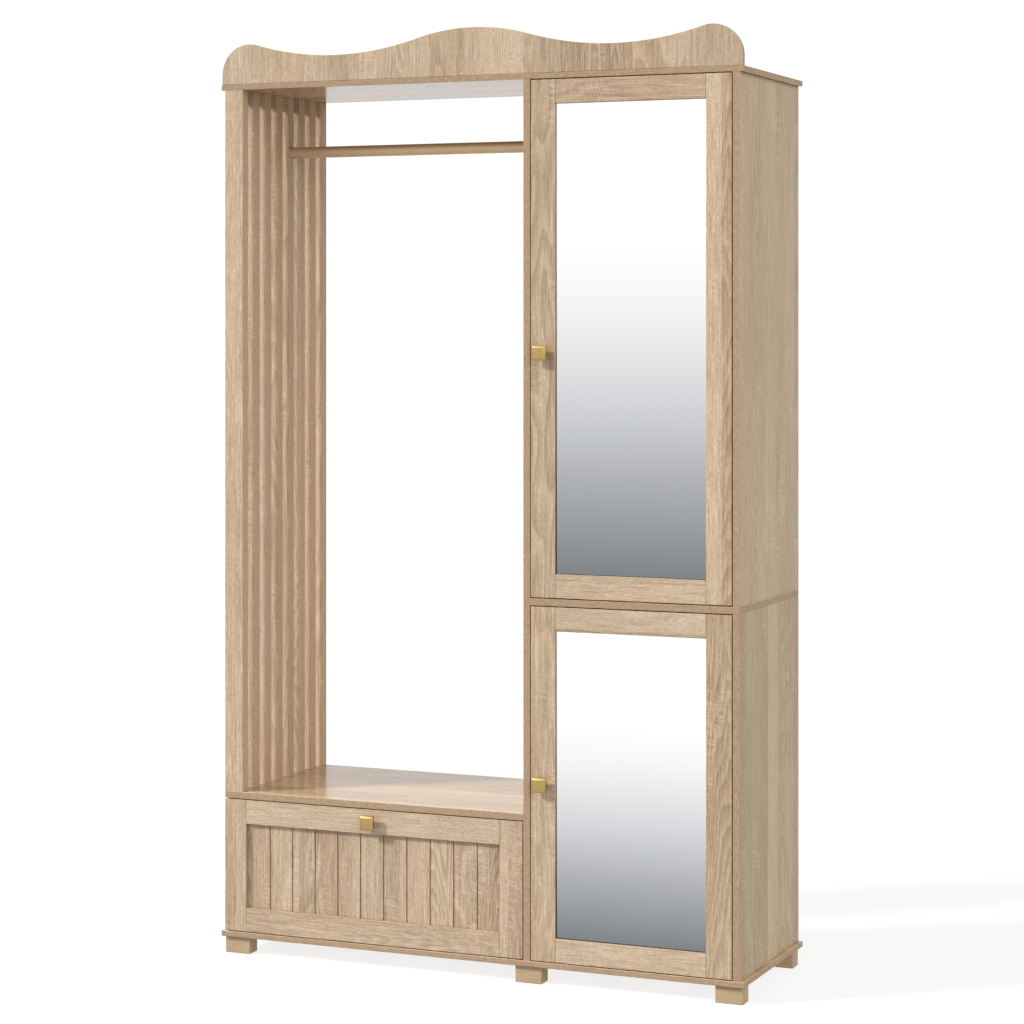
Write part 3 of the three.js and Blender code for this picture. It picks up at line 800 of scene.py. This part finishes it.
def make_mirrors():
    """A glass pane with eased edges, and the board that backs it"""
    for door in DOORS:
        node = f"{door}_mirror"
        low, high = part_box(node)
        # The glass carries a painted reflection, darker towards its lower edge
        glass = mirror_glass_painted_reflection(f"{door}_glass", low.z + FRAME_LAP, high.z - FRAME_LAP)
        pane_back = low.y + PANE_THICKNESS
        pane = Shape()
        pane.block(low, (high.x, pane_back, high.z), PANE_ROUNDING)
        pane.piece(f"{door}_pane", door, "mirror", glass, node)
        backing = Shape()
        backing.block((low.x + BACKING_INSET, pane_back + BACKING_GAP, low.z + BACKING_INSET),
                      (high.x - BACKING_INSET, high.y, high.z - BACKING_INSET), BACKING_ROUNDING)
        board = hardboard(f"{door}_backing_fibre", printed=False)
        backing.piece(f"{door}_backing", door, "hardboard", board)


def hinge_frame(front, number):
    """Origin on the front's edge in the plane of its face: -X points away from the panel that
    carries the hinge, +Y into the furniture, and Z along the axis"""
    arm_low, arm_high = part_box(f"{front.replace('_door', '')}_hinge_arm_{number}")
    middle = (arm_low + arm_high) / 2
    stile_low, stile_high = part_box(f"{front}_stile_right")
    if front == "flap":
        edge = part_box("flap_rail_bottom")[0].z
        turn = Matrix(((0, 0, 1), (0, 1, 0), (-1, 0, 0))).to_4x4()
        return Matrix.Translation((middle.x, stile_low.y, edge)) @ turn
    return Matrix.Translation((stile_high.x, stile_low.y, middle.z))


def add_arm_screws(shape, hinge):
    """Two screws on the wings of the wall plate and two on the arm"""
    for side in (-1, 1):
        spot = aimed((-PLATE_FACE, PLATE_INWARD, side * PLATE_WING), (-1, 0, 0))
        shape.screw(SCREW_RADIUS, hinge @ spot)
    for inward in ARM_SCREWS_INWARD:
        spot = aimed((-ARM_FACE, inward, 0), (-1, 0, 0))
        shape.screw(ARM_SCREW_SHARE * SCREW_RADIUS, hinge @ spot)


def add_cup_ears(shape, hinge, setback, depth):
    """A rounded ear with a screw at each side of the cup, on the inside of the front"""
    turns = [math.pi * i / EAR_STEPS for i in range(EAR_STEPS + 1)]
    rounded = [(EAR_RADIUS * math.cos(a), EAR_REACH + EAR_RADIUS * math.sin(a)) for a in turns]
    half_outline = [*rounded, (-EAR_RADIUS, EAR_ROOT), (EAR_RADIUS, EAR_ROOT)]
    standing = Matrix(((1, 0, 0), (0, 0, 1), (0, 1, 0))).to_4x4()
    seat = depth + EAR_GAP
    for side in (-1, 1):
        outline = [(side * x, side * z) for x, z in half_outline]
        spot = Matrix.Translation((-setback, seat, 0))
        shape.prism(outline, EAR_THICKNESS, hinge @ spot @ standing, EAR_ROUNDING)
        spot = aimed((-setback, seat + EAR_THICKNESS, side * EAR_REACH), (0, 1, 0))
        shape.screw(SCREW_RADIUS, hinge @ spot)


def make_hinge_details():
    """Screws of the plates and arms on the carcass, and on each front the ears of its cups and
    the screw of its knob"""
    fixed = Shape()
    for front in FRONTS:
        moving = Shape()
        low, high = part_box(f"{front}_stile_right")
        for number in range(1, HINGE_COUNT + 1):
            hinge = hinge_frame(front, number)
            add_arm_screws(fixed, hinge)
            add_cup_ears(moving, hinge, CUP_SETBACK[front], high.y - low.y)
        knob_low, knob_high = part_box(f"{front}_knob")
        knob_middle = (knob_low + knob_high) / 2
        moving.screw(KNOB_SCREW, aimed((knob_middle.x, high.y, knob_middle.z), (0, 1, 0)))
        moving.piece(f"{front}_fittings", front, "hinge_steel", STEEL)
    fixed.piece("hinge_screws", "carcass", "hinge_steel", STEEL)


def make_shelf_pins():
    """Steel pins with a small seat, four under each shelf"""
    pin = [(0, 0), (PIN_FLANGE_RADIUS, 0), (PIN_FLANGE_RADIUS, PIN_FLANGE_DEPTH),
           (PIN_RADIUS, PIN_SHANK_START), (PIN_RADIUS, PIN_LENGTH),
           (PIN_RADIUS - PIN_TIP, PIN_LENGTH + PIN_TIP), (0, PIN_LENGTH + PIN_TIP)]
    shape = Shape()
    for shelf in SHELVES:
        low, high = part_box(shelf)
        for wall, inward in ((low.x, 1), (high.x, -1)):
            near, far = sorted((wall + inward * SEAT_START, wall + inward * PIN_LENGTH))
            for y in (low.y + PIN_FROM_EDGE, high.y - PIN_FROM_EDGE):
                place = aimed((wall, y, low.z - PIN_DROP), (inward, 0, 0))
                shape.lathe(pin, PIN_SIDES, place)
                shape.block((near, y - SEAT_HALF_WIDTH, low.z - SEAT_BOTTOM),
                            (far, y + SEAT_HALF_WIDTH, low.z - SEAT_GAP), SEAT_ROUNDING)
    shape.piece("shelf_pins", "carcass", "hinge_steel", STEEL)


def tack_places(low, high):
    """Even steps along the four edges of a sheet, in x and z"""
    places = set()
    for axis, other in ((X, Z), (Z, X)):
        first, last = low[axis] + TACK_INSET, high[axis] - TACK_INSET
        count = round((last - first) / TACK_SPACING)
        for i in range(count + 1):
            along = first + (last - first) * i / count
            for beside in (low[other] + TACK_INSET, high[other] - TACK_INSET):
                spot = {axis: along, other: beside}
                places.add((round(spot[X], TACK_DIGITS), round(spot[Z], TACK_DIGITS)))
    return sorted(places)


def make_tacks():
    """Flat tack heads round the edges of both hardboard backs"""
    head = [(0, 0), (TACK_RADIUS, 0), (TACK_RADIUS, TACK_RIM), (TACK_CROWN_RADIUS, TACK_CROWN_EDGE),
            (0, TACK_HEIGHT)]
    shape = Shape()
    for sheet in BACKS:
        low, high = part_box(sheet)
        for x, z in tack_places(low, high):
            shape.lathe(head, TACK_SIDES, aimed((x, high.y, z), (0, 1, 0)))
    shape.piece("back_tacks", "carcass", "hinge_steel", STEEL)


def floor_material():
    """Pale and even, with a glow of its own like a light table"""
    paint = Paint("pale_floor")
    tone = paint.scaled(paint.cloud(FLOOR_CELLS), FLOOR_MOTTLE, FLOOR_TONE - FLOOR_MOTTLE / 2)
    color = paint.join(tone, tone, tone)
    sunlight = sum(strength * math.sin(math.radians(rise)) for _, rise, strength, _ in SUNS.values())
    glow = SKY_SEEN - FLOOR_TONE * (SKY_LIGHT + sunlight / math.pi)
    return paint.finish(Base_Color=color, Roughness=FLOOR_ROUGHNESS, Specular_IOR_Level=0.0,
                        Emission_Color=WHITE, Emission_Strength=glow)


def make_floor():
    mesh = bpy.data.meshes.new("floor")
    turns = [2 * math.pi * i / FLOOR_SIDES for i in range(FLOOR_SIDES)]
    rim = [(FLOOR_REACH * math.cos(turn), FLOOR_REACH * math.sin(turn), 0) for turn in turns]
    mesh.from_pydata(rim, [], [range(FLOOR_SIDES)])
    mesh.materials.append(floor_material())
    floor = bpy.data.objects.new("floor", mesh)
    bpy.context.scene.collection.objects.link(floor)
    floor.visible_diffuse = False
    floor.visible_glossy = False


def make_camera():
    data = bpy.data.cameras.new("camera")
    data.lens = CAMERA_LENS
    data.sensor_width = CAMERA_SENSOR
    data.shift_y = CAMERA_SHIFT
    camera = bpy.data.objects.new("camera", data)
    camera.location = CAMERA_PLACE
    camera.rotation_euler = (math.radians(CAMERA_PITCH), 0, math.radians(CAMERA_YAW))
    bpy.context.scene.collection.objects.link(camera)
    bpy.context.scene.camera = camera


def make_suns():
    for name, (azimuth, elevation, strength, softness) in SUNS.items():
        data = bpy.data.lights.new(name, "SUN")
        data.energy = strength
        data.angle = math.radians(softness)
        light = bpy.data.objects.new(name, data)
        turn, rise = math.radians(azimuth), math.radians(elevation)
        flat = math.cos(rise)
        towards = Vector((math.sin(turn) * flat, -math.cos(turn) * flat, math.sin(rise)))
        light.matrix_world = aimed(SUN_DISTANCE * towards, towards)
        bpy.context.scene.collection.objects.link(light)


def make_sky():
    """White all round to the eye, softer as light, grey to the right behind in reflections"""
    world = bpy.data.worlds.new("studio")
    bpy.context.scene.world = world
    world.use_nodes = True
    sky = Tree(world.node_tree)
    where = sky.split(sky.add("ShaderNodeTexCoord", {}).outputs["Generated"])
    rays = sky.add("ShaderNodeLightPath", {}).outputs
    right = sky.smooth(where[X], *CORNER_TURN_X)
    behind = sky.smooth(where[Y], *CORNER_TURN_Y)
    corner = sky.math("MULTIPLY", right, behind)
    mirrored = sky.scaled(corner, BACK_CORNER - SKY_SEEN, SKY_SEEN)
    light = sky.smooth(where[Z], *HORIZON_TURN, FLOOR_LIGHT, SKY_LIGHT)
    strength = sky.total(sky.scaled(rays["Is Camera Ray"], SKY_SEEN),
                         (rays["Is Diffuse Ray"], light), (rays["Is Glossy Ray"], mirrored))
    background = world.node_tree.nodes["Background"]
    sky.feed(background.inputs["Color"], WHITE)
    sky.feed(background.inputs["Strength"], strength)


paint_boards()
paint_the_rest()
make_knobs()
make_rail()
make_mirrors()
make_hinge_details()
make_shelf_pins()
make_tacks()
make_floor()
make_camera()
make_suns()
make_sky()
bpy.context.scene.view_settings.view_transform = "Standard"
